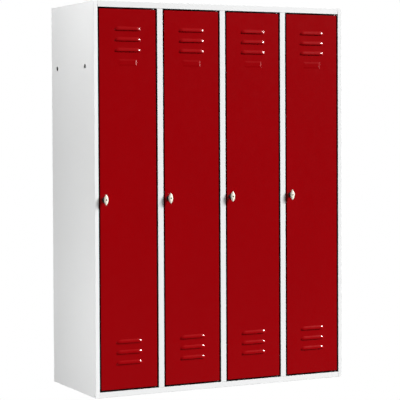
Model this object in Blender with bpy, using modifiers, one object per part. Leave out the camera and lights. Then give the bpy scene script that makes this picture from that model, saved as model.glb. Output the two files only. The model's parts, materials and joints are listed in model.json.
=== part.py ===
# Compartment locker: a sheet-steel wardrobe locker with hinged doors side by side.
# Metres, +Z up, front towards -Y, origin on the ground under the middle of the whole object.
import math

import bmesh
import bpy
from mathutils import Matrix, Vector

# Overall size of the body
WIDTH = 1.230
HEIGHT = 1.700
DEPTH = 0.500
COMPARTMENTS = 4

# Sheet metal, the gap between pieces that touch, and the play of a piece that slides or turns in another
SHEET = 0.0008
FIT = 0.0003
PLAY = 0.0006

# Front frame and the folds behind it
SIDE_FACE = 0.0185
MULLION_FACE = 0.027
TOP_RAIL = 0.026
BOTTOM_RAIL = 0.024
STRIKE_LIP = 0.0155
SOFFIT_DEPTH = 0.030
TOP_REAR_FLANGE = 0.015
FOOT_LIP = 0.015

# Bolt holes in the outer sides, for joining lockers in a row
BOLT_RADIUS = 0.010
BOLT_FROM_FRONT = 0.101
BOLT_SPACING = 0.3285
BOLT_OVER_SHELF = 0.0235

# Doors
DOOR_GAP = 0.007
DOOR_RECESS = 0.001
DOOR_DEPTH = 0.015
DOOR_RETURN = 0.012
STRIKE_GAP = 0.002

# Louvres, pressed outward and open below
LOUVRE_LENGTH = 0.120
LOUVRE_HEIGHT = 0.014
LOUVRE_DEPTH = 0.0045
LOUVRE_PITCH = 0.0455
LOUVRE_ROWS = 3
LOUVRE_FROM_TOP = 0.090
LOUVRE_FROM_BOTTOM = 0.108

# Raised label pad
LABEL_WIDTH = 0.088
LABEL_HEIGHT = 0.031
LABEL_RISE = 0.0012
LABEL_UNDER_LOUVRES = 0.048

# Hinge pins
HINGE_INSET = 0.010
HINGE_SETBACK = 0.005
PIN_RADIUS = 0.0025
PIN_COLLAR = 0.0042
PIN_TAIL = 0.005
PIN_IN_DOOR = 0.008

# Latch
LATCH_HEIGHT = 0.850
LATCH_INSET = 0.0215
KNOB_REACH = 0.020
GRIP_LENGTH = 0.047
GRIP_WIDTH = 0.019
GRIP_THICKNESS = 0.008
KEY_RADIUS = 0.003
KEY_DEPTH = 0.004
NECK_RADIUS = 0.0065
SPINDLE_RADIUS = 0.0045
SPINDLE_TAIL = 0.002
ROSETTE_RADIUS = 0.0125
ROSETTE_THICKNESS = 0.003
BARREL_RADIUS = 0.008
NUT_ACROSS_FLATS = 0.022
NUT_THICKNESS = 0.005
CAM_WIDTH = 0.016
CAM_THICKNESS = 0.0025
CAM_CLEARANCE = 0.0007
CAM_HOOK = 0.008

# Door buffer
BUFFER_RADIUS = 0.003
BUFFER_STEM = 0.0015
BUFFER_STEM_LENGTH = 0.003

# Door stiffener
STIFFENER_WIDTH = 0.060
STIFFENER_CROWN = 0.036
STIFFENER_RISE = 0.010
STIFFENER_MARGIN = 0.050

# Compartment fittings
HAT_SPACE = 0.274
SHELF_FLANGE = 0.020
SHELF_SETBACK = 0.006
RAIL_BELOW_SHELF = 0.020
RAIL_HEIGHT = 0.030
RAIL_THICKNESS = 0.015
RAIL_END_RIM = 0.004
RAIL_END_THICKNESS = 0.003
HOOK_THICKNESS = 0.012
HOOK_WALL = 0.004
HOOK_DROP = 0.036
HOOK_MOUTH = 0.012
HOOK_TIP = 0.012

# Facets on round shapes
ROUND_SIDES = 16
SMALL_SIDES = 12
HOOD_SEGMENTS = 12
HOOD_RINGS = 6
ARC_STEPS = 6

# Margin by which a cutter runs past what it cuts
OVERCUT = 0.001

# Points closer than this are one point
MERGE = 0.00001

# Length at which a joint's axis is drawn
AXIS_MARK = 0.05

# Places worked out from the sizes above
KNOB_PROUD = KNOB_REACH - DOOR_RECESS
FRONT = (KNOB_PROUD - DEPTH) / 2
BACK = FRONT + DEPTH
LEFT = -WIDTH / 2
RIGHT = WIDTH / 2
FRAME_RETURN = DOOR_RECESS + DOOR_DEPTH + STRIKE_GAP
OPENING_LOW = BOTTOM_RAIL
OPENING_HIGH = HEIGHT - TOP_RAIL
OPENING_WIDTH = (WIDTH - 2 * SIDE_FACE - (COMPARTMENTS - 1) * MULLION_FACE) / COMPARTMENTS
DOOR_WIDTH = OPENING_WIDTH - 2 * DOOR_GAP
DOOR_HEIGHT = OPENING_HIGH - OPENING_LOW - 2 * DOOR_GAP
DOOR_LEFT = HINGE_INSET - DOOR_WIDTH
DOOR_MIDDLE = HINGE_INSET - DOOR_WIDTH / 2
DOOR_FACE = -HINGE_SETBACK
DOOR_REAR = DOOR_FACE + DOOR_DEPTH
CAM_FRONT = DOOR_DEPTH + STRIKE_GAP + SHEET + CAM_CLEARANCE
CAM_REACH = DOOR_GAP + LATCH_INSET - STRIKE_LIP + CAM_HOOK
BACK_PANEL_REAR = BACK - SHEET - FIT
BACK_PANEL_FRONT = BACK_PANEL_REAR - SHEET
PARTITION_REAR = BACK_PANEL_FRONT - FIT
PARTITION_FRONT = FRONT + SHEET + FIT
PARTITION_FLANGE = MULLION_FACE / 2 - SHEET - FIT
SHELF_TOP = OPENING_HIGH - HAT_SPACE
SHELF_FRONT = FRONT + FRAME_RETURN + SHEET + SHELF_SETBACK
SHELF_REAR = PARTITION_REAR - SHEET - FIT
RAIL_Z = SHELF_TOP - SHELF_FLANGE - RAIL_BELOW_SHELF - RAIL_HEIGHT / 2 - RAIL_END_RIM
RAIL_Y = (SHELF_FRONT + SHELF_REAR) / 2
LOUVRE_LIPS_HIGH = [DOOR_HEIGHT - LOUVRE_FROM_TOP - row * LOUVRE_PITCH for row in range(LOUVRE_ROWS)]
LOUVRE_LIPS_LOW = [LOUVRE_FROM_BOTTOM + row * LOUVRE_PITCH for row in range(LOUVRE_ROWS)]
LABEL_MIDDLE = LOUVRE_LIPS_HIGH[-1] - LABEL_UNDER_LOUVRES

# Turns that point a piece's own Z out of the door, into the cabinet, or along the rail
FACE_OUT = (math.pi / 2, 0, 0)
FACE_IN = (-math.pi / 2, 0, 0)
ALONG_RAIL = (math.pi / 2, 0, math.pi / 2)
UPSIDE_DOWN = (math.pi, 0, 0)


# Scene helpers

def clear_scene():
    for old in list(bpy.data.objects):
        bpy.data.objects.remove(old, do_unlink=True)


def new_collection(name):
    collection = bpy.data.collections.new(name)
    bpy.context.scene.collection.children.link(collection)
    return collection


def new_material(name, color, roughness, metallic):
    material = bpy.data.materials.new(name)
    material.use_nodes = True
    shader = material.node_tree.nodes["Principled BSDF"]
    shader.inputs["Base Color"].default_value = (*color, 1.0)
    shader.inputs["Roughness"].default_value = roughness
    shader.inputs["Metallic"].default_value = metallic
    return material


def add_part(name, mesh, material, parent=None, place=(0, 0, 0), turn=(0, 0, 0)):
    part = bpy.data.objects.new(name, mesh)
    PARTS.objects.link(part)
    if not mesh.materials:
        mesh.materials.append(material)
    part.parent = parent
    part.location = place
    part.rotation_euler = turn
    return part


def add_cutter(name, mesh):
    cutter = bpy.data.objects.new(name, mesh)
    CUTTERS.objects.link(cutter)
    cutter.hide_render = True
    cutter.display_type = "WIRE"
    return cutter


def add_axis(name, place, parent=None):
    axis = bpy.data.objects.new(name, None)
    axis.empty_display_size = AXIS_MARK
    PARTS.objects.link(axis)
    axis.parent = parent
    axis.location = place
    return axis


def thicken(part):
    solidify = part.modifiers.new("sheet", "SOLIDIFY")
    solidify.thickness = SHEET
    solidify.offset = -1
    solidify.use_even_offset = True
    solidify.use_quality_normals = True


def combine(part, other, operation):
    boolean = part.modifiers.new(operation.lower(), "BOOLEAN")
    boolean.operation = operation
    boolean.object = other


def finished_mesh(part):
    # The mesh with all modifiers worked in, for pieces that share it
    depsgraph = bpy.context.evaluated_depsgraph_get()
    return bpy.data.meshes.new_from_object(part.evaluated_get(depsgraph))


# Shape helpers

def to_mesh(bm, name):
    mesh = bpy.data.meshes.new(name)
    bm.to_mesh(mesh)
    bm.free()
    return mesh


def add_box(bm, low, high):
    low, high = Vector(low), Vector(high)
    size = Matrix.Diagonal((*(high - low), 1))
    return bmesh.ops.create_cube(bm, size=1, matrix=Matrix.Translation((low + high) / 2) @ size)


def faces_towards(bm, direction):
    aim = Vector(direction)
    return [face for face in bm.faces if face.normal.angle(aim) < math.pi / 4]


def box_mesh(name, low, high):
    bm = bmesh.new()
    add_box(bm, low, high)
    return to_mesh(bm, name)


def add_cylinder(bm, start, end, radius, sides):
    start, end = Vector(start), Vector(end)
    turn = (end - start).to_track_quat("Z", "Y").to_matrix().to_4x4()
    matrix = Matrix.Translation((start + end) / 2) @ turn
    bmesh.ops.create_cone(bm, cap_ends=True, segments=sides, radius1=radius, radius2=radius,
                          depth=(end - start).length, matrix=matrix)


def clear_of(radius, sides=SMALL_SIDES):
    # Radius of a faceted hole that leaves the fit gap around a round of this radius
    return (radius + FIT) / math.cos(math.pi / sides)


def folded_mesh(name, path, levels, place, keep=None):
    # A flat blank folded along a path and drawn out over the levels, with the unwanted cells left out
    columns, rows = len(path) - 1, len(levels) - 1
    bm = bmesh.new()
    bmesh.ops.create_grid(bm, x_segments=columns, y_segments=rows, size=1)

    def column(x):
        return (x + 1) / 2 * columns

    def row(y):
        return (y + 1) / 2 * rows

    if keep:
        centres = {face: face.calc_center_median() for face in bm.faces}
        unwanted = [face for face, at in centres.items() if not keep(int(column(at.x)), int(row(at.y)))]
        bmesh.ops.delete(bm, geom=unwanted, context="FACES")
    for vert in bm.verts:
        vert.co = place(path[round(column(vert.co.x))], levels[round(row(vert.co.y))])
    return to_mesh(bm, name)


def upright(point, level):
    return (point[0], point[1], level)


def sideways(point, level):
    return (level, point[0], point[1])


def turned_mesh(name, profile, closed=False):
    bm = bmesh.new()
    verts = [bm.verts.new((radius, 0, height)) for radius, height in profile]
    pairs = list(zip(verts, verts[1:]))
    if closed:
        pairs.append((verts[-1], verts[0]))
    for pair in pairs:
        bm.edges.new(pair)
    return to_mesh(bm, name)


def turn_round(part, sides):
    screw = part.modifiers.new("turn", "SCREW")
    screw.steps = sides
    screw.render_steps = sides
    screw.use_merge_vertices = True
    screw.merge_threshold = MERGE
    weld = part.modifiers.new("axis", "WELD")
    weld.merge_threshold = MERGE


def plate_mesh(name, outlines, thickness):
    # A flat outline with its holes, extruded half its thickness to each side
    curve = bpy.data.curves.new(name, "CURVE")
    curve.dimensions = "2D"
    curve.fill_mode = "BOTH"
    curve.extrude = thickness / 2
    for outline in outlines:
        spline = curve.splines.new("POLY")
        spline.points.add(len(outline) - 1)
        for point, (x, y) in zip(spline.points, outline):
            point.co = (x, y, 0, 1)
        spline.use_cyclic_u = True
    holder = bpy.data.objects.new(name, curve)
    CUTTERS.objects.link(holder)
    mesh = finished_mesh(holder)
    bpy.data.objects.remove(holder, do_unlink=True)
    bm = bmesh.new()
    bm.from_mesh(mesh)
    bmesh.ops.remove_doubles(bm, verts=bm.verts, dist=MERGE)
    bmesh.ops.recalc_face_normals(bm, faces=bm.faces)
    bm.to_mesh(mesh)
    bm.free()
    mesh.materials.clear()
    return mesh


def arc(x, y, radius, start, end, steps=ARC_STEPS):
    angles = [math.radians(start + (end - start) * step / steps) for step in range(steps + 1)]
    return [(x + radius * math.cos(a), y + radius * math.sin(a)) for a in angles]


def circle(radius, sides=SMALL_SIDES):
    return arc(0, 0, radius, 0, 360, sides)[:-1]


def oval(width, height):
    # Upright oval with round ends, about the origin
    rise = (height - width) / 2
    return arc(0, rise, width / 2, 0, 180) + arc(0, -rise, width / 2, 180, 360)


# Body of the locker

def mullion_centre(index):
    return LEFT + SIDE_FACE + (index + 1) * OPENING_WIDTH + (index + 0.5) * MULLION_FACE


def compartment_sides(index):
    # Inner faces of the sheets to the left and right of a compartment
    low = LEFT + SHEET if index == 0 else mullion_centre(index - 1) + SHEET / 2
    high = RIGHT - SHEET if index == COMPARTMENTS - 1 else mullion_centre(index) - SHEET / 2
    return low, high


def opening_right(index):
    return LEFT + SIDE_FACE + (index + 1) * OPENING_WIDTH + index * MULLION_FACE


def bolt_holes(bm, x):
    z = SHELF_TOP + BOLT_OVER_SHELF
    for y in (FRONT + BOLT_FROM_FRONT, FRONT + BOLT_FROM_FRONT + BOLT_SPACING):
        add_cylinder(bm, (x - SHEET - OVERCUT, y, z), (x + SHEET + OVERCUT, y, z), BOLT_RADIUS, ROUND_SIDES)


def side_panels():
    levels = [0, OPENING_LOW + FIT, OPENING_HIGH - FIT, HEIGHT]
    inner, deep = LEFT + SIDE_FACE, FRONT + FRAME_RETURN
    path = [(inner, BACK), (LEFT, BACK), (LEFT, FRONT), (inner, FRONT), (inner, deep),
            (inner + STRIKE_LIP, deep)]
    first_inner_fold = 3

    def keep(column, row):
        return column < first_inner_fold or row == 1

    left_mesh = folded_mesh("left_side_panel", path, levels, upright, keep)
    left = add_part("left_side_panel", left_mesh, GREY)
    mirrored = [(-x, y) for x, y in reversed(path[:-1])]

    def keep_mirrored(column, row):
        return column > 0 or row == 1

    right_mesh = folded_mesh("right_side_panel", mirrored, levels, upright, keep_mirrored)
    right = add_part("right_side_panel", right_mesh, GREY)
    bm = bmesh.new()
    bolt_holes(bm, LEFT)
    bolt_holes(bm, RIGHT)
    holes = add_cutter("bolt_hole_cutter", to_mesh(bm, "bolt_hole_cutter"))
    for panel in (left, right):
        thicken(panel)
        combine(panel, holes, "DIFFERENCE")


def end_strip_levels():
    outer, inner = LEFT + SHEET + FIT, LEFT + SIDE_FACE + FIT
    return [outer, inner, -inner, -outer]


def hinge_hole_cutter(name, low, high):
    bm = bmesh.new()
    for index in range(COMPARTMENTS):
        x, y = hinge_place(index)
        add_cylinder(bm, (x, y, low), (x, y, high), clear_of(PIN_RADIUS), SMALL_SIDES)
    return add_cutter(name, to_mesh(bm, name))


def top_panel():
    clear_front, clear_back = FRONT + SHEET + FIT, BACK - SHEET - FIT
    path = [(BACK, HEIGHT - TOP_REAR_FLANGE), (BACK, HEIGHT), (clear_back, HEIGHT), (clear_front, HEIGHT),
            (FRONT, HEIGHT), (FRONT, OPENING_HIGH), (FRONT + SOFFIT_DEPTH, OPENING_HIGH)]
    web = 2

    def keep(column, row):
        return row == 1 or column == web

    mesh = folded_mesh("top_panel", path, end_strip_levels(), sideways, keep)
    panel = add_part("top_panel", mesh, GREY)
    thicken(panel)
    holes = hinge_hole_cutter("top_hinge_cutter", OPENING_HIGH - OVERCUT, OPENING_HIGH + SHEET + OVERCUT)
    combine(panel, holes, "DIFFERENCE")


def floor_panel():
    clear_front, clear_back = FRONT + SHEET + FIT, BACK - SHEET - FIT
    path = [(BACK - FOOT_LIP, 0), (BACK, 0), (BACK, OPENING_LOW), (clear_back, OPENING_LOW),
            (clear_front, OPENING_LOW), (FRONT, OPENING_LOW), (FRONT, 0), (FRONT + FOOT_LIP, 0)]
    web = 3

    def keep(column, row):
        return row == 1 or column == web

    mesh = folded_mesh("floor_panel", path, end_strip_levels(), sideways, keep)
    panel = add_part("floor_panel", mesh, GREY)
    thicken(panel)
    holes = hinge_hole_cutter("floor_hinge_cutter", OPENING_LOW - SHEET - OVERCUT, OPENING_LOW + OVERCUT)
    combine(panel, holes, "DIFFERENCE")


def back_panel():
    low = (LEFT + SHEET + FIT, BACK_PANEL_FRONT, OPENING_LOW + FIT)
    high = (RIGHT - SHEET - FIT, BACK_PANEL_REAR, HEIGHT - SHEET - FIT)
    add_part("back_panel", box_mesh("back_panel", low, high), GREY)


def mullion(index):
    middle = mullion_centre(index)
    low, high, deep = middle - MULLION_FACE / 2, middle + MULLION_FACE / 2, FRONT + FRAME_RETURN
    path = [(low, deep), (low, FRONT), (high, FRONT), (high, deep), (high + STRIKE_LIP, deep)]
    name = f"mullion_{index + 1}"
    levels = [OPENING_LOW + FIT, OPENING_HIGH - FIT]
    thicken(add_part(name, folded_mesh(name, path, levels, upright), GREY))


def partition(index):
    web = mullion_centre(index) - SHEET / 2
    edge = web + PARTITION_FLANGE
    behind_soffit = FRONT + SOFFIT_DEPTH + FIT
    path = [(edge, PARTITION_REAR), (web, PARTITION_REAR), (web, behind_soffit), (web, PARTITION_FRONT),
            (edge, PARTITION_FRONT)]
    levels = [OPENING_LOW + FIT, OPENING_HIGH - FIT, HEIGHT - SHEET - FIT]

    def keep(column, row):
        return column < 2 or row == 0

    name = f"partition_{index + 1}"
    thicken(add_part(name, folded_mesh(name, path, levels, upright, keep), GREY))


# Fittings inside a compartment

def hat_shelf(index):
    left, right = compartment_sides(index)
    bm = bmesh.new()
    add_box(bm, (left + FIT, SHELF_FRONT, SHELF_TOP - SHELF_FLANGE), (right - FIT, SHELF_REAR, SHELF_TOP))
    bmesh.ops.delete(bm, geom=faces_towards(bm, (0, 0, -1)), context="FACES_ONLY")
    name = f"hat_shelf_{index + 1}"
    thicken(add_part(name, to_mesh(bm, name), GREY))


def coat_rail(index):
    left, right = compartment_sides(index)
    length = right - left - 2 * FIT
    name = f"coat_rail_{index + 1}"
    place = ((left + right) / 2, RAIL_Y, RAIL_Z)
    bar = plate_mesh(name, [oval(RAIL_THICKNESS, RAIL_HEIGHT)], length - RAIL_END_THICKNESS)
    rail = add_part(name, bar, STEEL, None, place, ALONG_RAIL)
    end_outline = oval(RAIL_THICKNESS + 2 * RAIL_END_RIM, RAIL_HEIGHT + 2 * RAIL_END_RIM)
    for side in (-1, 1):
        end = add_cutter(f"{name}_end", plate_mesh(f"{name}_end", [end_outline], RAIL_END_THICKNESS))
        end.location = (place[0] + side * (length - RAIL_END_THICKNESS) / 2, RAIL_Y, RAIL_Z)
        end.rotation_euler = ALONG_RAIL
        combine(rail, end, "UNION")


def hook_outline():
    # Band round the rail, then a stem that turns up into an open hook
    half_width = RAIL_THICKNESS / 2 + PLAY + HOOK_WALL
    rise = (RAIL_HEIGHT - RAIL_THICKNESS) / 2
    outer_bend = HOOK_MOUTH / 2 + HOOK_WALL
    bend_y = half_width - outer_bend
    bend_z = -RAIL_HEIGHT / 2 - HOOK_DROP
    band_foot = -rise - math.sqrt(half_width ** 2 - (half_width - HOOK_WALL) ** 2)
    top = arc(0, rise, half_width, 0, 180)
    left_foot = arc(0, -rise, half_width, 180, 360 - math.degrees(math.acos(1 - HOOK_WALL / half_width)))
    stem = [(half_width - HOOK_WALL, band_foot)]
    inside = arc(bend_y, bend_z, HOOK_MOUTH / 2, 0, -180)
    tip = [(bend_y - HOOK_MOUTH / 2, bend_z + HOOK_TIP), (bend_y - outer_bend, bend_z + HOOK_TIP)]
    outside = arc(bend_y, bend_z, outer_bend, 180, 360)
    return top + left_foot[:-1] + stem + inside + tip + outside


def coat_hook(index):
    left, right = compartment_sides(index)
    name = f"coat_hook_{index + 1}"
    bore = oval(RAIL_THICKNESS + 2 * PLAY, RAIL_HEIGHT + 2 * PLAY)
    mesh = plate_mesh(name, [hook_outline(), bore], HOOK_THICKNESS)
    add_part(name, mesh, BLACK, None, ((left + right) / 2, RAIL_Y, RAIL_Z), ALONG_RAIL)


# Doors

def hinge_place(index):
    return opening_right(index) - DOOR_GAP - HINGE_INSET, FRONT + DOOR_RECESS + HINGE_SETBACK


def add_hood(bm, middle, lip, length, height, depth, low, rear):
    # Upper part of a flattened capsule along X, cut flat at its low edge and at its rear
    ball = bmesh.new()
    bmesh.ops.create_uvsphere(ball, u_segments=HOOD_SEGMENTS, v_segments=HOOD_RINGS, radius=1,
                              matrix=Matrix.Rotation(math.pi / 2, 4, "Y"))
    waist = [edge for edge in ball.edges if all(abs(vert.co.x) < MERGE for vert in edge.verts)]
    bmesh.ops.split_edges(ball, edges=waist)
    straight = length / 2 - height
    ends = {vert: face.calc_center_median().x for face in ball.faces for vert in face.verts}
    for vert, end in ends.items():
        along = vert.co.x * height + math.copysign(straight, end)
        vert.co = (along, vert.co.y * depth, vert.co.z * height)
    bmesh.ops.bridge_loops(ball, edges=[edge for edge in ball.edges if edge.is_boundary])
    trim(ball, (0, 0, low), (0, 0, -1))
    trim(ball, (0, rear, 0), (0, 1, 0))
    bmesh.ops.translate(ball, verts=ball.verts, vec=(middle, DOOR_FACE + SHEET / 2, lip))
    whole = to_mesh(ball, "hood")
    bm.from_mesh(whole)
    bpy.data.meshes.remove(whole)


def trim(bm, point, direction):
    # Cut away what lies past a plane and close the cut
    everything = bm.verts[:] + bm.edges[:] + bm.faces[:]
    bmesh.ops.bisect_plane(bm, geom=everything, plane_co=point, plane_no=direction, clear_outer=True)
    bmesh.ops.holes_fill(bm, edges=[edge for edge in bm.edges if edge.is_boundary])
    bmesh.ops.recalc_face_normals(bm, faces=bm.faces)


def hood_set(name, wall, low, rear):
    # The hoods spring from the middle of the sheet, so their depth counts from there
    bm = bmesh.new()
    length, height = LOUVRE_LENGTH - 2 * wall, LOUVRE_HEIGHT - wall
    depth = LOUVRE_DEPTH + SHEET / 2 - wall
    for lip in LOUVRE_LIPS_HIGH + LOUVRE_LIPS_LOW:
        add_hood(bm, DOOR_MIDDLE, lip, length, height, depth, low, rear)
    return add_cutter(name, to_mesh(bm, name))


def label_pad():
    low = (DOOR_MIDDLE - LABEL_WIDTH / 2, DOOR_FACE - LABEL_RISE, LABEL_MIDDLE - LABEL_HEIGHT / 2)
    high = (DOOR_MIDDLE + LABEL_WIDTH / 2, DOOR_FACE + SHEET / 2, LABEL_MIDDLE + LABEL_HEIGHT / 2)
    return add_cutter("label_pad", box_mesh("label_pad", low, high))


def latch_place():
    return DOOR_LEFT + LATCH_INSET, DOOR_FACE, LATCH_HEIGHT - OPENING_LOW - DOOR_GAP


def buffer_place():
    x = DOOR_LEFT - DOOR_GAP + (DOOR_GAP + STRIKE_LIP) / 2
    return x, DOOR_REAR, (latch_place()[2] + DOOR_HEIGHT) / 2


def door_holes():
    bm = bmesh.new()
    x, y, z = latch_place()
    barrel_hole = clear_of(BARREL_RADIUS, ROUND_SIDES)
    add_cylinder(bm, (x, y - OVERCUT, z), (x, y + SHEET + OVERCUT, z), barrel_hole, ROUND_SIDES)
    x, y, z = buffer_place()
    add_cylinder(bm, (x, y - SHEET - OVERCUT, z), (x, y + OVERCUT, z), clear_of(BUFFER_STEM), SMALL_SIDES)
    add_cylinder(bm, (0, 0, -OVERCUT), (0, 0, DOOR_HEIGHT + OVERCUT), clear_of(PIN_RADIUS), SMALL_SIDES)
    return add_cutter("door_hole_cutter", to_mesh(bm, "door_hole_cutter"))


def door_mesh():
    # A pan with its edges folded back twice, with louvres, label pad and holes
    bm = bmesh.new()
    add_box(bm, (DOOR_LEFT, DOOR_FACE, 0), (HINGE_INSET, DOOR_REAR, DOOR_HEIGHT))
    rear = faces_towards(bm, (0, 1, 0))
    bmesh.ops.inset_region(bm, faces=rear, thickness=DOOR_RETURN, use_even_offset=True)
    bmesh.ops.delete(bm, geom=rear, context="FACES_ONLY")
    blank = add_cutter("door_blank", to_mesh(bm, "door_blank"))
    thicken(blank)
    combine(blank, hood_set("louvre_hoods", 0, 0, 0), "UNION")
    combine(blank, label_pad(), "UNION")
    combine(blank, hood_set("louvre_hollows", SHEET, -FIT, LOUVRE_DEPTH), "DIFFERENCE")
    combine(blank, door_holes(), "DIFFERENCE")
    mesh = finished_mesh(blank)
    mesh.name = "door"
    return mesh


def stiffener_mesh():
    half, crown = STIFFENER_WIDTH / 2, STIFFENER_CROWN / 2
    base = DOOR_FACE + SHEET + FIT
    path = [(-half, base), (-crown, base), (-crown, base + STIFFENER_RISE), (crown, base + STIFFENER_RISE),
            (crown, base), (half, base)]
    placed = [(DOOR_MIDDLE + x, y) for x, y in path]
    low = LOUVRE_LIPS_LOW[-1] + LOUVRE_HEIGHT + STIFFENER_MARGIN
    high = LABEL_MIDDLE - LABEL_HEIGHT / 2 - STIFFENER_MARGIN
    return folded_mesh("door_stiffener", placed, [low, high], upright)


def pin_mesh():
    # Shank with a collar that fills the gap between door and frame, from the door's lower edge at zero
    top, bottom = SHEET + PIN_IN_DOOR, -DOOR_GAP - SHEET - PIN_TAIL
    profile = [(0, top), (PIN_RADIUS, top), (PIN_RADIUS, -FIT), (PIN_COLLAR, -FIT),
               (PIN_COLLAR, FIT - DOOR_GAP), (PIN_RADIUS, FIT - DOOR_GAP), (PIN_RADIUS, bottom), (0, bottom)]
    return turned_mesh("hinge_pin", profile)


def buffer_mesh():
    head, foot = STRIKE_GAP - FIT, -SHEET - BUFFER_STEM_LENGTH
    profile = [(0, head), (BUFFER_RADIUS, head), (BUFFER_RADIUS, FIT), (BUFFER_STEM, FIT),
               (BUFFER_STEM, foot), (0, foot)]
    return turned_mesh("door_buffer", profile)


# Latch, about its spindle with the door's face at zero and outward positive

def rosette_mesh():
    top, chamfer, bore = FIT + ROSETTE_THICKNESS, ROSETTE_THICKNESS / 2, SPINDLE_RADIUS + PLAY
    profile = [(ROSETTE_RADIUS - chamfer, top), (ROSETTE_RADIUS, top - chamfer), (ROSETTE_RADIUS, FIT),
               (BARREL_RADIUS, FIT), (BARREL_RADIUS, FIT - CAM_FRONT), (bore, FIT - CAM_FRONT), (bore, top)]
    return turned_mesh("latch_rosette", profile, closed=True)


def spindle_mesh():
    neck = FIT + ROSETTE_THICKNESS + FIT
    top, tail = KNOB_REACH - GRIP_THICKNESS / 2, -CAM_FRONT - CAM_THICKNESS - SPINDLE_TAIL
    profile = [(0, top), (NECK_RADIUS, top), (NECK_RADIUS, neck), (SPINDLE_RADIUS, neck),
               (SPINDLE_RADIUS, tail), (0, tail)]
    return turned_mesh("latch_spindle", profile)


def grip_outline():
    # Two arcs that meet in a point above and below
    half_width, half_length = GRIP_WIDTH / 2, GRIP_LENGTH / 2
    radius = (half_length ** 2 + half_width ** 2) / (2 * half_width)
    sweep = math.degrees(math.asin(half_length / radius))
    offset = radius - half_width
    right = arc(-offset, 0, radius, -sweep, sweep)
    left = arc(offset, 0, radius, 180 - sweep, 180 + sweep)
    return right[:-1] + left[:-1]


def knob_mesh():
    grip = add_cutter("latch_grip", plate_mesh("latch_grip", [grip_outline()], GRIP_THICKNESS))
    grip.location.z = KNOB_REACH - GRIP_THICKNESS / 2
    spindle = add_cutter("latch_spindle", spindle_mesh())
    turn_round(spindle, ROUND_SIDES)
    bm = bmesh.new()
    add_cylinder(bm, (0, 0, KNOB_REACH - KEY_DEPTH), (0, 0, KNOB_REACH + OVERCUT), KEY_RADIUS, SMALL_SIDES)
    key_hole = add_cutter("key_hole_cutter", to_mesh(bm, "key_hole_cutter"))
    combine(spindle, grip, "UNION")
    combine(spindle, key_hole, "DIFFERENCE")
    mesh = finished_mesh(spindle)
    mesh.name = "latch_knob"
    return mesh


def nut_mesh():
    corner = NUT_ACROSS_FLATS / 2 / math.cos(math.pi / 6)
    hole = circle(clear_of(BARREL_RADIUS, ROUND_SIDES), ROUND_SIDES)
    return plate_mesh("latch_nut", [circle(corner, 6), hole], NUT_THICKNESS)


def cam_mesh():
    half = CAM_WIDTH / 2
    outline = arc(0, 0, half, 0, 180) + arc(0, half - CAM_REACH, half, 180, 360)
    return plate_mesh("latch_cam", [outline, circle(clear_of(SPINDLE_RADIUS))], CAM_THICKNESS)


def doors():
    door, stiffener, pin, buffer = door_mesh(), stiffener_mesh(), pin_mesh(), buffer_mesh()
    rosette, knob, nut, cam = rosette_mesh(), knob_mesh(), nut_mesh(), cam_mesh()
    nut_place = (0, SHEET + FIT + NUT_THICKNESS / 2, 0)
    cam_place = (0, CAM_FRONT + CAM_THICKNESS / 2, 0)
    for index in range(COMPARTMENTS):
        number = index + 1
        hinge = add_axis(f"door_axis_{number}", (*hinge_place(index), OPENING_LOW + DOOR_GAP))
        latch = add_axis(f"latch_axis_{number}", latch_place(), hinge)
        add_part(f"door_{number}", door, RED, hinge)
        thicken(add_part(f"door_stiffener_{number}", stiffener, RED, hinge))
        low_pin = add_part(f"hinge_pin_bottom_{number}", pin, STEEL, hinge)
        high_pin = add_part(f"hinge_pin_top_{number}", pin, STEEL, hinge, (0, 0, DOOR_HEIGHT), UPSIDE_DOWN)
        stop = add_part(f"door_buffer_{number}", buffer, RUBBER, hinge, buffer_place(), FACE_IN)
        base = add_part(f"latch_rosette_{number}", rosette, BLACK, hinge, latch_place(), FACE_OUT)
        for small_piece in (low_pin, high_pin, stop):
            turn_round(small_piece, SMALL_SIDES)
        turn_round(base, ROUND_SIDES)
        add_part(f"latch_nut_{number}", nut, STEEL, latch, nut_place, FACE_OUT)
        add_part(f"latch_knob_{number}", knob, CHROME, latch, (0, 0, 0), FACE_OUT)
        add_part(f"latch_cam_{number}", cam, STEEL, latch, cam_place, FACE_OUT)


def main():
    side_panels()
    top_panel()
    floor_panel()
    back_panel()
    for index in range(COMPARTMENTS - 1):
        mullion(index)
        partition(index)
    for index in range(COMPARTMENTS):
        hat_shelf(index)
        coat_rail(index)
        coat_hook(index)
    doors()


clear_scene()
PARTS = new_collection("compartment_locker")
CUTTERS = new_collection("cutters")
GREY = new_material("light_grey_paint", (0.76, 0.77, 0.77), 0.45, 0.0)
RED = new_material("ruby_red_paint", (0.29, 0.002, 0.006), 0.35, 0.0)
CHROME = new_material("chrome", (0.80, 0.80, 0.80), 0.12, 1.0)
STEEL = new_material("zinc_plated_steel", (0.60, 0.60, 0.58), 0.35, 1.0)
BLACK = new_material("black_plastic", (0.02, 0.02, 0.02), 0.45, 0.0)
RUBBER = new_material("grey_rubber", (0.10, 0.10, 0.10), 0.80, 0.0)
main()
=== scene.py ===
# Compartment locker: finer surfaces, finishes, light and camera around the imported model.
# Metres, in the model's own frame: +Z up, front towards -Y.
import json
import math

import bmesh
import bpy
from mathutils import Matrix, Vector

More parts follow.
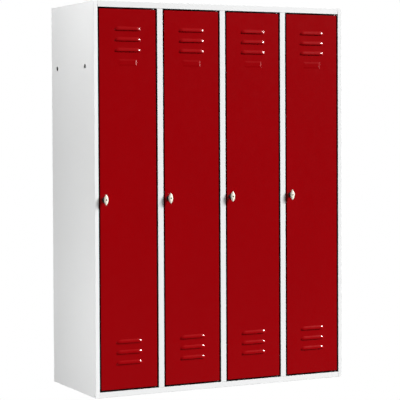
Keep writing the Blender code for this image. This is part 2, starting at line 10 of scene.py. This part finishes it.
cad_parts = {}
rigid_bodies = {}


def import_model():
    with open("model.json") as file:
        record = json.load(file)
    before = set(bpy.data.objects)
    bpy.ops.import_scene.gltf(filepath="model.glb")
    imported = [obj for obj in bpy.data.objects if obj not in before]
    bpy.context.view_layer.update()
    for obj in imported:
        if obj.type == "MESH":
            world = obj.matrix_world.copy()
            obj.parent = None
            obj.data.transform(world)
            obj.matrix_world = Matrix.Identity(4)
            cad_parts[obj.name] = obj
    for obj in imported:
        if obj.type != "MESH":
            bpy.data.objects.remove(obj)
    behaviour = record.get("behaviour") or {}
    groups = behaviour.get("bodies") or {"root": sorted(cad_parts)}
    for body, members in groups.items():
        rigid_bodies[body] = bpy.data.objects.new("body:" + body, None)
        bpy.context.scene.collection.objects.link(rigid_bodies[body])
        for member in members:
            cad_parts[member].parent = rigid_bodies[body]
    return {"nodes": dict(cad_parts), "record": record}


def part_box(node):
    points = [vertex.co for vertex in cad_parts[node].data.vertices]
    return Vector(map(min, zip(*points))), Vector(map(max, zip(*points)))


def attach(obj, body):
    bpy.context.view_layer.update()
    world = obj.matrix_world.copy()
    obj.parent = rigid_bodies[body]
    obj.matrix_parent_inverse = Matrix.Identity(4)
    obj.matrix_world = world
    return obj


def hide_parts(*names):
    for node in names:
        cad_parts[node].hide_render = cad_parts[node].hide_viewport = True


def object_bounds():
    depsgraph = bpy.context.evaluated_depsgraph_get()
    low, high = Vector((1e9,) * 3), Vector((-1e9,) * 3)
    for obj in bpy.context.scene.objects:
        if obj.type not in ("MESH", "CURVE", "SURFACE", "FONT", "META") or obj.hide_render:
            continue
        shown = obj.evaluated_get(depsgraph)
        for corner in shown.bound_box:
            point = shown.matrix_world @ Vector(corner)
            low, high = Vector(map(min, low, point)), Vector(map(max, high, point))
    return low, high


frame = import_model()
CAD_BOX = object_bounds()
NODES = frame["nodes"]
BODIES = frame["record"]["behaviour"]["bodies"]
BODY_OF = {node: body for body, nodes in BODIES.items() for node in nodes}
SLOT_OF = {part["node"]: part["material_slot"] for part in frame["record"]["subparts"]}

# Sheet metal: its thickness, and the radius inside and outside a fold
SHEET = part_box("back_panel")[1].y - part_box("back_panel")[0].y
FOLD_INSIDE = 0.0005
FOLD_OUTSIDE = FOLD_INSIDE + SHEET
FOLD_STEPS = 4

# Doors: the lip that returns behind the edge, and the corners of the front and of that lip
DOOR_RETURN = 0.012
DOOR_CORNER = 0.0022
RETURN_CORNER = 0.0004
CORNER_STEPS = 4

# Louvres: length and height of the opening, how far they stand out, and where their lips are
LOUVRE_LENGTH = 0.120
LOUVRE_HEIGHT = 0.014
LOUVRE_DEPTH = 0.0045
LOUVRE_PITCH = 0.0455
LOUVRE_ROWS = 3
LOUVRE_FROM_TOP = 0.090
LOUVRE_FROM_BOTTOM = 0.108

# A louvre's hood: its rounded ends, and how far from the lip its crest, fillet and foot are, in heights
LOUVRE_CAP = 0.020
LOUVRE_CAP_STEPS = 10
LOUVRE_CREST = 0.1
LOUVRE_FILLET = 0.92
LOUVRE_FOOT = 1.12
LOUVRE_RINGS = 13

# Raised label pad: outline, place, rise at its left and right end, and how deep it is let in
LABEL_WIDTH = 0.088
LABEL_HEIGHT = 0.031
LABEL_CORNER = 0.001
LABEL_UNDER_LOUVRES = 0.048
LABEL_LOW = 0.00025
LABEL_RISE = 0.0019
LABEL_SUNK = 0.0004

# The pad's chamfer: its width on three sides and at the right end, and the share that is eased
LABEL_SLOPE = 0.0088
LABEL_END = 0.008
LABEL_EASE = 0.2
LABEL_STEPS = 10

# Latch grip: thickness, edges, crown, the crown's rings from key hole to brow, and the brow's angle
GRIP_THICKNESS = 0.008
GRIP_FRONT_ROUND = 0.0026
GRIP_BACK_ROUND = 0.001
GRIP_CROWN = 0.0008
GRIP_STEPS = 16
CROWN_SHARES = (0.75, 0.5, 0.25, 0)
BROW_TURN = 75

# Latch: key hole, spindle, round base with its barrel, play round the spindle and behind the neck
KEY_RADIUS = 0.003
KEY_RIM = 0.0006
KEY_DEPTH = 0.004
NECK_RADIUS = 0.0065
SPINDLE_RADIUS = 0.0045
BARREL_RADIUS = 0.008
ROSETTE_THICKNESS = 0.003
ROSETTE_ROUND = 0.0018
PLAY = 0.0006
FIT = 0.0003
LATCH_HOLE = 0.0085
LATCH_HOLE_STEPS = 32

# How edges are rounded, and which edges count as sharp
EASE = 0.0004
BACK_EASE = SHEET / 4
EASE_STEPS = 2
ROUND_PROFILE = 0.5
SHARP = math.radians(50)
SMOOTH = math.radians(40)
FLAT = math.radians(0.5)
MERGE = 0.00001

# Painted shade in narrow joints, gaps and under hoods, from ambient occlusion: how near a facing surface
# has to be, and how open a joint is, dark to clean
PAINTED_SHADE_REACH = 0.016
PAINTED_SHADE_SAMPLES = 8
PAINTED_SHADE_RAMP = (0.55, 0.97)
DOOR_PAINTED_SHADE_RAMP = (0.2, 0.55)
# The near-black colour painted in as shade
PAINTED_SHADE_COLOR = (0.01, 0.008, 0.008, 1)

# Noise: detail of broad and of fine patterns, and how far most values lie from the middle
BROAD_DETAIL = 3.0
FINE_DETAIL = 2.0
NOISE_SPAN = 0.25

# Powder paint: patterns per metre of tone, gloss and orange peel, drift of the gloss, depth of the peel
PAINT_TONE = 3.0
PAINT_TONE_DETAIL = 4.0
PAINT_GLOSS = 35.0
PAINT_GLOSS_DRIFT = 0.08
PEEL = 700.0
PEEL_DEPTH = 0.00002

# Plating: its darkest tone, and streaks and scratches, so many times finer than the spangle
PLATE_SHADE = 0.92
STREAKS_FINER = 3
STREAKS_DRIFT = 0.25
SCRATCHES_FINER = 4
SCRATCH_DEPTH = 0.000004

# Plastic and rubber: patterns per metre of tone and gloss, and the drift of each
MOULD_TONE = 40.0
MOULD_TONE_DRIFT = 0.15
MOULD_GLOSS = 120.0
MOULD_GLOSS_DRIFT = 0.06

# Backdrop: glow of the floor and half its side, and glow of the sky from the horizon up
WHITE = (1, 1, 1, 1)
FLOOR_GLOW = 0.42
FLOOR_REACH = 3.0
SKY_HORIZON = 0.0
SKY_ZENITH = 0.09
SKY_RAMP = (0.1, 0.9)

# Lights, in watts; the glossy ones show in what they shine on
LIGHTS = {
    "key_light": dict(place=(25.9, -13.8, 14.55), aim=(0, 0, 0.85), size=(6.5, 6.5), power=20400,
                      glossy=True),
    "strip_light": dict(place=(7.5, -5.9, 1.7), aim=(-0.42, -0.24, 1.44), size=(0.25, 1.2), power=30,
                        glossy=True),
    "left_fill": dict(place=(-4.5, -0.1, 3.2), aim=(-0.6, 0, 1.0), size=(1.0, 1.5), power=64),
    "near_fill": dict(place=(-1.6, -0.36, 2.3), aim=(-0.6, -0.1, 1.5), size=(0.5, 0.5), power=11.2),
    "low_fill": dict(place=(-1.6, -0.38, 0.25), aim=(-0.6, -0.1, 0.3), size=(0.5, 0.5), power=5.0),
    "front_fill": dict(place=(-4.0, -5.5, 2.2), aim=(0, 0, 0.85), size=(2.0, 2.0), power=75),
    "right_fill": dict(place=(5.0, 2.2, 1.9), aim=(0.6, 0, 1.0), size=(1.8, 1.8), power=150),
    "back_fill": dict(place=(1.8, 5.5, 1.9), aim=(0, 0.26, 1.0), size=(1.8, 1.8), power=170),
}

# Lights that fall on some pieces only, by the start of the pieces' names
KEPT_TO = {"strip_light": "label_pad_", "near_fill": "left_side_panel", "low_fill": "left_side_panel"}

# Screen beside the right side: lights it stops, gap, depth, and how far it stands over and before
FLAGGED = ("key_light",)
FLAG_GAP = 0.035
FLAG_DEPTH = 0.56
FLAG_OVER = 0.018
FLAG_FORWARD = 0.016

# Camera: focal length and optical centre are in pixels of a square image, the sensor in millimetres
CAMERA_PLACE = (-3.10437, -6.27073, 1.17550)
CAMERA_YAW = math.radians(26.3801)
CAMERA_PITCH = math.radians(-1.6730)
CAMERA_ROLL = math.radians(-0.2577)
IMAGE_SIDE = 400
FOCAL_PIXELS = 1528.492
OPTICAL_CENTRE = (200, 168)
SENSOR_WIDTH = 36
CAMERA_REACH = 100


# Mesh helpers

def cad_copy(node):
    # The node's solid as a fresh mesh with whole faces in place of triangles
    bm = bmesh.new()
    bm.from_mesh(NODES[node].data)
    bmesh.ops.remove_doubles(bm, verts=bm.verts, dist=MERGE)
    bmesh.ops.dissolve_limit(bm, angle_limit=FLAT, verts=bm.verts, edges=bm.edges)
    return bm


def to_mesh(bm, name):
    mesh = bpy.data.meshes.new(name)
    bm.to_mesh(mesh)
    bm.free()
    return mesh


def add_object(name, data):
    made = bpy.data.objects.new(name, data)
    bpy.context.scene.collection.objects.link(made)
    return made


def add_piece(mesh, node, extra=None):
    # A finer piece that stands for one node of the model, or an extra one on it, and moves with its body
    piece = add_object(extra or f"{node}_finish", mesh)
    mesh.materials.clear()
    mesh.materials.append(MATERIALS[SLOT_OF[node]])
    mesh.shade_smooth()
    mesh.set_sharp_from_angle(angle=SMOOTH)
    normals = piece.modifiers.new("flat_faces", "WEIGHTED_NORMAL")
    normals.keep_sharp = True
    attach(piece, BODY_OF[node])
    if not extra:
        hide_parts(node)


def chain_faces(bm, first, second):
    # Quads between two open rows of points
    for corners in zip(first, first[1:], second[1:], second):
        bm.faces.new(corners)


def ring_faces(bm, first, second):
    # Quads between two closed rings of points
    chain_faces(bm, first + first[:1], second + second[:1])


def add_ring(bm, points):
    return [bm.verts.new(point) for point in points]


def loft(name, rings, closed=False):
    # A closed body through rings of points, capped at both ends or closed on itself
    bm = bmesh.new()
    made = [add_ring(bm, ring) for ring in rings]
    for first, second in zip(made, made[1:]):
        ring_faces(bm, first, second)
    if closed:
        ring_faces(bm, made[-1], made[0])
    else:
        bm.faces.new(made[0])
        bm.faces.new(made[-1])
    bmesh.ops.recalc_face_normals(bm, faces=bm.faces)
    return to_mesh(bm, name)


def turns(start, end, steps):
    return [math.radians(start + (end - start) * step / steps) for step in range(steps + 1)]


def round_edge(radius, start, end, steps):
    # Points round an edge between two angles: how far each is drawn in, and how far it is set back
    return [(radius * (1 - math.cos(turn)), radius * (1 - math.sin(turn)))
            for turn in turns(start, end, steps)]


def rounded_rectangle(left, right, bottom, top, radius):
    corners = [(right - radius, top - radius, 0), (left + radius, top - radius, 90),
               (left + radius, bottom + radius, 180), (right - radius, bottom + radius, 270)]
    return [(x + radius * math.cos(turn), z + radius * math.sin(turn))
            for x, z, start in corners for turn in turns(start, start + 90, CORNER_STEPS)]


def round_over(bm, edges, radius, steps):
    bmesh.ops.bevel(bm, geom=edges, offset=radius, offset_type="OFFSET", segments=steps,
                    profile=ROUND_PROFILE, affect="EDGES", clamp_overlap=True)


# Folded sheets: the model's own folds with a bend radius

def face_width(face):
    return 2 * face.calc_area() / face.calc_perimeter()


def folds(bm, outside):
    # Square edges between two broad faces, on the outside or the inside of the sheet
    found = []
    for edge in bm.edges:
        if not edge.is_manifold or edge.calc_face_angle() < SHARP:
            continue
        if edge.is_convex == outside and all(face_width(face) > 2 * SHEET for face in edge.link_faces):
            found.append(edge)
    return found


def bend(bm, edges, radius):
    round_over(bm, edges, radius, FOLD_STEPS)
    bmesh.ops.remove_doubles(bm, verts=bm.verts, dist=MERGE)


def folded_sheet(node):
    bm = cad_copy(node)
    bend(bm, folds(bm, True), FOLD_OUTSIDE)
    bend(bm, folds(bm, False), FOLD_INSIDE)
    add_piece(to_mesh(bm, node), node)


def eased(node, radius):
    # A small solid piece with its sharp outer edges rounded over
    bm = cad_copy(node)
    sharp = [edge for edge in bm.edges
             if edge.is_manifold and edge.is_convex and edge.calc_face_angle() > SHARP]
    round_over(bm, sharp, radius, EASE_STEPS)
    add_piece(to_mesh(bm, node), node)


# Doors

def hood_profile(reach):
    # Share of the louvre's depth: an ellipse from the lip, run out into the sheet with a fillet
    if reach <= LOUVRE_FILLET:
        return math.sqrt(1 - reach ** 2)
    rise = math.sqrt(1 - LOUVRE_FILLET ** 2)
    span = LOUVRE_FOOT - LOUVRE_FILLET
    slope = -LOUVRE_FILLET / rise * span
    share = (reach - LOUVRE_FILLET) / span
    return rise * (1 - 3 * share ** 2 + 2 * share ** 3) + slope * (share - 2 * share ** 2 + share ** 3)


def add_louvre(bm, lip):
    # A hood that springs from the sheet, open along its lip; returns the edges of its outline
    straight = LOUVRE_LENGTH / 2 - LOUVRE_CAP
    ends = [(straight, turn) for turn in turns(0, 90, LOUVRE_CAP_STEPS)]
    ends += [(-straight, turn) for turn in turns(90, 180, LOUVRE_CAP_STEPS)]
    rows = []
    for step in range(LOUVRE_RINGS):
        reach = LOUVRE_FOOT + (LOUVRE_CREST - LOUVRE_FOOT) * step / (LOUVRE_RINGS - 1)
        out = -LOUVRE_DEPTH * hood_profile(reach)
        cap, height = reach * LOUVRE_CAP, reach * LOUVRE_HEIGHT
        rows.append(add_ring(bm, [(x + cap * math.cos(turn), out, lip + height * math.sin(turn))
                                  for x, turn in ends]))
    for first, second in zip(rows, rows[1:]):
        chain_faces(bm, first, second)
    bm.faces.new(rows[-1])
    outline = [bm.edges.get(pair) for pair in zip(rows[0], rows[0][1:])]
    return outline + [bm.edges.new((rows[0][-1], rows[0][0]))]


def add_pan(bm, half_width, height, depth):
    # The folded border of a door; returns the edges round its flat front
    rings = [(inset, deep) for deep, inset in round_edge(FOLD_OUTSIDE, 0, 90, FOLD_STEPS)]
    rings += [(inset, depth - short) for inset, short in round_edge(FOLD_OUTSIDE, 0, 90, FOLD_STEPS)]
    rings.append((DOOR_RETURN, depth))
    made = []
    for inset, deep in rings:
        side, corner = half_width - inset, max(DOOR_CORNER - inset, RETURN_CORNER)
        outline = rounded_rectangle(-side, side, inset, height - inset, corner)
        made.append(add_ring(bm, [(x, deep, z) for x, z in outline]))
    for first, second in zip(made, made[1:]):
        ring_faces(bm, first, second)
    return [bm.edges.get(pair) for pair in zip(made[0], made[0][1:] + made[0][:1])]


def add_latch_hole(bm, x, z):
    # A round hole in the flat front; returns the edges round it
    ring = add_ring(bm, [(x + LATCH_HOLE * math.cos(turn), 0, z + LATCH_HOLE * math.sin(turn))
                         for turn in turns(0, 360, LATCH_HOLE_STEPS)[:-1]])
    return [bm.edges.new(pair) for pair in zip(ring, ring[1:] + ring[:1])]


def latch_centre(number):
    low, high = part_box(f"latch_knob_{number}")
    return (low.x + high.x) / 2, (low.z + high.z) / 2


def door_skin(number):
    # Outer surface of a door, drawn about the middle of its lower edge with its face at zero, then placed
    low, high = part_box(f"door_{number}")
    face, height = low.y + LOUVRE_DEPTH, high.z - low.z
    origin = Vector(((low.x + high.x) / 2, face, low.z))
    bm = bmesh.new()
    outlines = add_pan(bm, (high.x - low.x) / 2, height, high.y - face)
    lips_high = [height - LOUVRE_FROM_TOP - row * LOUVRE_PITCH for row in range(LOUVRE_ROWS)]
    lips_low = [LOUVRE_FROM_BOTTOM + row * LOUVRE_PITCH for row in range(LOUVRE_ROWS)]
    for lip in lips_high + lips_low:
        outlines += add_louvre(bm, lip)
    latch_x, latch_z = latch_centre(number)
    outlines += add_latch_hole(bm, latch_x - origin.x, latch_z - origin.z)
    bmesh.ops.triangle_fill(bm, use_beauty=True, use_dissolve=False, edges=outlines, normal=(0, -1, 0))
    bmesh.ops.recalc_face_normals(bm, faces=bm.faces)
    front = max(bm.faces, key=lambda face: face.calc_area() * abs(face.normal.y))
    if front.normal.y > 0:
        bmesh.ops.reverse_faces(bm, faces=bm.faces)
    bmesh.ops.translate(bm, verts=bm.verts, vec=origin)
    return to_mesh(bm, f"door_{number}")


def door(number):
    # The skin, thickened to a sheet
    skin = add_object("door_skin", door_skin(number))
    sheet = skin.modifiers.new("sheet", "SOLIDIFY")
    sheet.thickness = SHEET
    sheet.offset = -1
    sheet.use_even_offset = True
    sheet.use_quality_normals = True
    depsgraph = bpy.context.evaluated_depsgraph_get()
    mesh = bpy.data.meshes.new_from_object(skin.evaluated_get(depsgraph))
    bpy.data.objects.remove(skin, do_unlink=True)
    add_piece(mesh, f"door_{number}")


def chamfer(share):
    # A straight rise from zero to one, eased at both ends
    slope = 1 / (1 - LABEL_EASE)
    if share < LABEL_EASE:
        return slope * share ** 2 / (2 * LABEL_EASE)
    if share > 1 - LABEL_EASE:
        return 1 - slope * (1 - share) ** 2 / (2 * LABEL_EASE)
    return slope * (share - LABEL_EASE / 2)


def label_pad(number):
    # A pad on the door that rises towards its right end, let a little into the sheet
    node = f"door_{number}"
    low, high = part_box(node)
    middle_x, face = (low.x + high.x) / 2, low.y + LOUVRE_DEPTH
    middle_z = high.z - LOUVRE_FROM_TOP - (LOUVRE_ROWS - 1) * LOUVRE_PITCH - LABEL_UNDER_LOUVRES
    half_width = LABEL_WIDTH / 2
    rings = []
    for step in range(-1, LABEL_STEPS + 1):
        share = max(step, 0) / LABEL_STEPS
        left, right = LABEL_SLOPE * share - half_width, half_width - LABEL_END * share
        half_height = LABEL_HEIGHT / 2 - LABEL_SLOPE * share
        ring = []
        for x, z in rounded_rectangle(left, right, -half_height, half_height, LABEL_CORNER):
            rise = LABEL_LOW + (LABEL_RISE - LABEL_LOW) * (x / LABEL_WIDTH + 0.5)
            out = rise * chamfer(share) if step >= 0 else -LABEL_SUNK
            ring.append((middle_x + x, face - out, middle_z + z))
        rings.append(ring)
    add_piece(loft(f"label_pad_{number}", rings), node, f"label_pad_{number}")


# Latch

def lens(half_width, half_length, inset):
    # Two arcs that meet in a point above and below, drawn in by an inset
    radius = (half_length ** 2 + half_width ** 2) / (2 * half_width)
    offset = radius - half_width
    sweep = math.degrees(math.acos(offset / (radius - inset)))
    right = [(-offset + (radius - inset) * math.cos(turn), (radius - inset) * math.sin(turn))
             for turn in turns(-sweep, sweep, GRIP_STEPS)]
    left = [(-x, -z) for x, z in right]
    return right[:-1] + left[:-1]


def circle(radius):
    # As many points as a lens has, from the lowest one on
    return [(radius * math.cos(turn), radius * math.sin(turn))
            for turn in turns(-90, 270, 2 * GRIP_STEPS)[:-1]]


def mixed(first, second, share):
    return [(x + (to_x - x) * share, z + (to_z - z) * share)
            for (x, z), (to_x, to_z) in zip(first, second)]


def placed(rings, x, front, z):
    # Flat rings, each with its depth, as points about an axis that runs back from the front
    return [[(x + across, front + deep, z + up) for across, up in ring] for ring, deep in rings]


def latch_knob(number):
    # One closed body from the key hole over the crowned grip to the tail of the spindle
    node = f"latch_knob_{number}"
    low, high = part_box(node)
    x, z = latch_centre(number)
    half_width, half_length = (high.x - low.x) / 2, (high.z - low.z) / 2
    rosette_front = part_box(f"latch_rosette_{number}")[0].y - low.y
    brow = lens(half_width, half_length, GRIP_FRONT_ROUND)
    rim = circle(KEY_RADIUS + KEY_RIM)
    rings = [(circle(KEY_RADIUS), KEY_DEPTH), (circle(KEY_RADIUS), KEY_RIM), (rim, 0)]
    for share in CROWN_SHARES:
        rings.append((mixed(brow, rim, share), GRIP_CROWN * (1 - share) ** 2))
    for inset, deep in round_edge(GRIP_FRONT_ROUND, BROW_TURN, 0, CORNER_STEPS):
        rings.append((lens(half_width, half_length, inset), GRIP_CROWN + deep))
    for inset, short in round_edge(GRIP_BACK_ROUND, 0, 90, CORNER_STEPS):
        rings.append((lens(half_width, half_length, inset), GRIP_THICKNESS - short))
    for radius, deep in ((NECK_RADIUS, GRIP_THICKNESS), (NECK_RADIUS, rosette_front - FIT),
                         (SPINDLE_RADIUS, rosette_front - FIT), (SPINDLE_RADIUS, high.y - low.y)):
        rings.append((circle(radius), deep))
    add_piece(loft(node, placed(rings, x, low.y, z)), node)


def latch_rosette(number):
    # A round base with a rounded rim, and the barrel that goes through the door
    node = f"latch_rosette_{number}"
    low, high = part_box(node)
    x, z = latch_centre(number)
    radius = (high.x - low.x) / 2
    bore = SPINDLE_RADIUS + PLAY
    profile = [(bore, 0)]
    profile += [(radius - inset, deep) for inset, deep in round_edge(ROSETTE_ROUND, 90, 0, CORNER_STEPS)]
    profile += [(radius, ROSETTE_THICKNESS), (BARREL_RADIUS, ROSETTE_THICKNESS),
                (BARREL_RADIUS, high.y - low.y), (bore, high.y - low.y)]
    rings = [(circle(size), deep) for size, deep in profile]
    add_piece(loft(node, placed(rings, x, low.y, z), closed=True), node)


# Materials

def add_node(tree, kind, inputs=None, **settings):
    made = tree.nodes.new(kind)
    for name, value in settings.items():
        setattr(made, name, value)
    for name, value in (inputs or {}).items():
        if isinstance(value, bpy.types.NodeSocket):
            tree.links.new(value, made.inputs[name])
        else:
            made.inputs[name].default_value = value
    return made


def noise(tree, scale, detail=FINE_DETAIL, stretch=None):
    place = add_node(tree, "ShaderNodeTexCoord").outputs["Object"]
    if stretch:
        mapping = add_node(tree, "ShaderNodeMapping", {"Vector": place, "Scale": stretch})
        place = mapping.outputs["Vector"]
    texture = add_node(tree, "ShaderNodeTexNoise", {"Vector": place, "Scale": scale, "Detail": detail})
    return texture.outputs["Fac"]


def map_range(tree, value, start, end, low=0, high=1):
    # A value moved from the range between start and end onto the one between low and high
    ends = {"Value": value, "From Min": start, "From Max": end, "To Min": low, "To Max": high}
    return add_node(tree, "ShaderNodeMapRange", ends).outputs["Result"]


def spread(tree, value, low=0, high=1):
    # A noise value stretched about its middle onto a range
    return map_range(tree, value, 0.5 - NOISE_SPAN, 0.5 + NOISE_SPAN, low, high)


def drift(tree, value, middle, share):
    # A noise value as a drift about a middle, by a share of it to either side
    return spread(tree, value, middle * (1 - share), middle * (1 + share))


def blend_colors(tree, share, first, second):
    mix = add_node(tree, "ShaderNodeMix", {"Factor": share, "A": first, "B": second}, data_type="RGBA")
    return mix.outputs["Result"]


def bump(tree, height, distance):
    return add_node(tree, "ShaderNodeBump", {"Height": height, "Distance": distance}).outputs["Normal"]


def new_material(name):
    material = bpy.data.materials.new(name)
    material.use_nodes = True
    tree = material.node_tree
    return material, tree, tree.nodes["Principled BSDF"]


def connect(tree, shader, color, roughness, normal):
    for name, socket in (("Base Color", color), ("Roughness", roughness), ("Normal", normal)):
        tree.links.new(socket, shader.inputs[name])


def shade(color, factor):
    # A colour made lighter or darker, with its alpha
    return (*(channel * factor for channel in color), 1)


def paint_shade_in_joints(tree, color, ramp=PAINTED_SHADE_RAMP):
    # The colour darkened towards near black where ambient occlusion finds surfaces close by: painted
    # shade in joints, gaps and under louvre hoods
    depth = add_node(tree, "ShaderNodeAmbientOcclusion", {"Distance": PAINTED_SHADE_REACH}, samples=PAINTED_SHADE_SAMPLES)
    return blend_colors(tree, map_range(tree, depth.outputs["AO"], *ramp), PAINTED_SHADE_COLOR, color)


def powder_coat(name, color, roughness, variation, gloss_level=0.5, ramp=PAINTED_SHADE_RAMP):
    # Baked powder paint: fine orange peel, slow drift of tone and gloss
    material, tree, shader = new_material(name)
    tone = spread(tree, noise(tree, PAINT_TONE, PAINT_TONE_DETAIL))
    paint = blend_colors(tree, tone, shade(color, 1 - variation), shade(color, 1 + variation))
    gloss = drift(tree, noise(tree, PAINT_GLOSS, BROAD_DETAIL), roughness, PAINT_GLOSS_DRIFT)
    peel = bump(tree, noise(tree, PEEL), PEEL_DEPTH)
    # Painted shade darkens the paint in its joints and gaps
    connect(tree, shader, paint_shade_in_joints(tree, paint, ramp), gloss, peel)
    shader.inputs["Specular IOR Level"].default_value = gloss_level
    return material


def plated(name, color, roughness, spangle, stretch, metal=1.0):
    # Plated metal with drawn or polished streaks
    material, tree, shader = new_material(name)
    tone = spread(tree, noise(tree, spangle, BROAD_DETAIL, stretch))
    plate = blend_colors(tree, tone, shade(color, PLATE_SHADE), shade(color, 1))
    streaks = noise(tree, spangle * STREAKS_FINER, stretch=stretch)
    gloss = drift(tree, streaks, roughness, STREAKS_DRIFT)
    scratches = bump(tree, noise(tree, spangle * SCRATCHES_FINER, stretch=stretch), SCRATCH_DEPTH)
    # Painted shade darkens the plating in its joints and gaps
    connect(tree, shader, paint_shade_in_joints(tree, plate), gloss, scratches)
    shader.inputs["Metallic"].default_value = metal
    return material


def moulded(name, color, roughness, grain, depth):
    # Moulded plastic or rubber with a fine grain
    material, tree, shader = new_material(name)
    tone = spread(tree, noise(tree, MOULD_TONE, BROAD_DETAIL))
    dark, light = shade(color, 1 - MOULD_TONE_DRIFT), shade(color, 1 + MOULD_TONE_DRIFT)
    gloss = spread(tree, noise(tree, MOULD_GLOSS), roughness - MOULD_GLOSS_DRIFT,
                   roughness + MOULD_GLOSS_DRIFT)
    connect(tree, shader, blend_colors(tree, tone, dark, light), gloss,
            bump(tree, noise(tree, grain), depth))
    return material


# Light, floor and camera

def seen_white(tree, kind, strength):
    # White where it is seen, with a strength of its own where it lights the object
    light = add_node(tree, kind, {"Color": WHITE, "Strength": strength}).outputs[0]
    backdrop = add_node(tree, kind, {"Color": WHITE, "Strength": 1.0}).outputs[0]
    seen = add_node(tree, "ShaderNodeLightPath").outputs["Is Camera Ray"]
    return add_node(tree, "ShaderNodeMixShader", {0: seen, 1: light, 2: backdrop}).outputs[0]


def sky():
    # A studio that is dark at the horizon and bright overhead
    world = bpy.data.worlds.new("studio")
    bpy.context.scene.world = world
    world.use_nodes = True
    tree = world.node_tree
    tree.nodes.clear()
    direction = add_node(tree, "ShaderNodeTexCoord").outputs["Generated"]
    height = add_node(tree, "ShaderNodeSeparateXYZ", {"Vector": direction}).outputs["Z"]
    glow = map_range(tree, height, *SKY_RAMP, SKY_HORIZON, SKY_ZENITH)
    add_node(tree, "ShaderNodeOutputWorld", {"Surface": seen_white(tree, "ShaderNodeBackground", glow)})


def square(name, half_side=0.5):
    # A flat square, a metre wide unless said otherwise
    bm = bmesh.new()
    bmesh.ops.create_grid(bm, x_segments=1, y_segments=1, size=half_side)
    return add_object(name, to_mesh(bm, name))


def floor():
    # A white floor just under the object, which casts no shadow and shows none
    material = bpy.data.materials.new("white_sweep")
    material.use_nodes = True
    tree = material.node_tree
    tree.nodes.clear()
    glow = seen_white(tree, "ShaderNodeEmission", FLOOR_GLOW)
    add_node(tree, "ShaderNodeOutputMaterial", {"Surface": glow})
    ground = square("floor", FLOOR_REACH)
    ground.location.z = CAD_BOX[0].z - MERGE
    ground.data.materials.append(material)
    ground.visible_glossy = False
    ground.visible_shadow = False


def area_light(name, place, aim, size, power, glossy=False):
    light = bpy.data.lights.new(name, "AREA")
    light.shape = "RECTANGLE"
    light.size, light.size_y = size
    light.energy = power
    lamp = add_object(name, light)
    lamp.location = place
    lamp.rotation_euler = (Vector(aim) - Vector(place)).to_track_quat("-Z", "Y").to_euler()
    lamp.visible_camera = False
    lamp.visible_glossy = glossy
    return lamp


def flag(fills):
    # A screen beside the right side that keeps the key light off it, and no other light
    screen = square("flag")
    front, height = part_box("right_side_panel")[0].y, CAD_BOX[1].z + FLAG_OVER
    screen.location = (CAD_BOX[1].x + FLAG_GAP, front - FLAG_FORWARD + FLAG_DEPTH / 2, height / 2)
    screen.rotation_euler = (math.pi / 2, 0, math.pi / 2)
    screen.scale = (FLAG_DEPTH, height, 1)
    screen.visible_camera = False
    screen.visible_glossy = False
    screen.visible_diffuse = False
    passed = bpy.data.collections.new("passed_by_fills")
    passed.objects.link(screen)
    passed.collection_objects[0].light_linking.link_state = "EXCLUDE"
    for lamp in fills:
        lamp.light_linking.blocker_collection = passed


def keep_to(lamp, start):
    # Keeps a light to the pieces whose names start so
    lit = bpy.data.collections.new(f"lit_by_{lamp.name}")
    for piece in bpy.context.scene.objects:
        if piece.name.startswith(start) and piece.name not in NODES:
            lit.objects.link(piece)
    lamp.light_linking.receiver_collection = lit


def studio():
    sky()
    floor()
    lamps = {name: area_light(name, **light) for name, light in LIGHTS.items()}
    flag([lamp for name, lamp in lamps.items() if name not in FLAGGED])
    for name, start in KEPT_TO.items():
        keep_to(lamps[name], start)
    settings = bpy.context.scene.view_settings
    settings.view_transform = "Standard"
    settings.look = "None"


def camera():
    data = bpy.data.cameras.new("camera")
    data.sensor_width = SENSOR_WIDTH
    data.lens = FOCAL_PIXELS / IMAGE_SIDE * SENSOR_WIDTH
    data.shift_x = 0.5 - OPTICAL_CENTRE[0] / IMAGE_SIDE
    data.shift_y = OPTICAL_CENTRE[1] / IMAGE_SIDE - 0.5
    data.clip_end = CAMERA_REACH
    seen_from = add_object("camera", data)
    turn = (Matrix.Rotation(-CAMERA_YAW, 4, "Z") @ Matrix.Rotation(math.pi / 2 + CAMERA_PITCH, 4, "X")
            @ Matrix.Rotation(CAMERA_ROLL, 4, "Z"))
    seen_from.matrix_world = Matrix.Translation(CAMERA_PLACE) @ turn
    bpy.context.scene.camera = seen_from


# Finishes by the record's material slots, pieces by how they are made, and the whole scene

MATERIALS = {
    "carcass_paint": powder_coat("carcass_paint", (0.78, 0.785, 0.785), roughness=0.45, variation=0.012),
    "door_paint": powder_coat("door_paint", (0.286, 0.0003, 0.002), roughness=0.19, variation=0.025,
                              gloss_level=0.45, ramp=DOOR_PAINTED_SHADE_RAMP),
    "latch_chrome": plated("latch_chrome", (1.0, 0.94, 0.8), roughness=0.4, spangle=300.0,
                           stretch=(1, 1, 6), metal=0.12),
    "zinc_steel": plated("zinc_steel", (0.62, 0.63, 0.62), roughness=0.36, spangle=120.0,
                         stretch=(4, 1, 1)),
    "black_plastic": moulded("black_plastic", (0.018, 0.018, 0.019), roughness=0.42, grain=1500.0,
                             depth=0.00003),
    "buffer_rubber": moulded("buffer_rubber", (0.06, 0.06, 0.06), roughness=0.8, grain=900.0,
                             depth=0.00006),
}
FOLDED = ("left_side_panel", "right_side_panel", "top_panel", "floor_panel", "mullion_", "partition_",
          "hat_shelf_", "door_stiffener_")
EASED = ("hinge_pin_", "door_buffer_", "latch_nut_", "latch_cam_", "coat_rail_", "coat_hook_",
         "back_panel")
DOORS = sum(node.startswith("latch_knob_") for node in NODES)

for node in sorted(NODES):
    if node.startswith(FOLDED):
        folded_sheet(node)
    elif node.startswith(EASED):
        eased(node, BACK_EASE if node == "back_panel" else EASE)
for number in range(1, DOORS + 1):
    door(number)
    label_pad(number)
    latch_knob(number)
    latch_rosette(number)
studio()
camera()
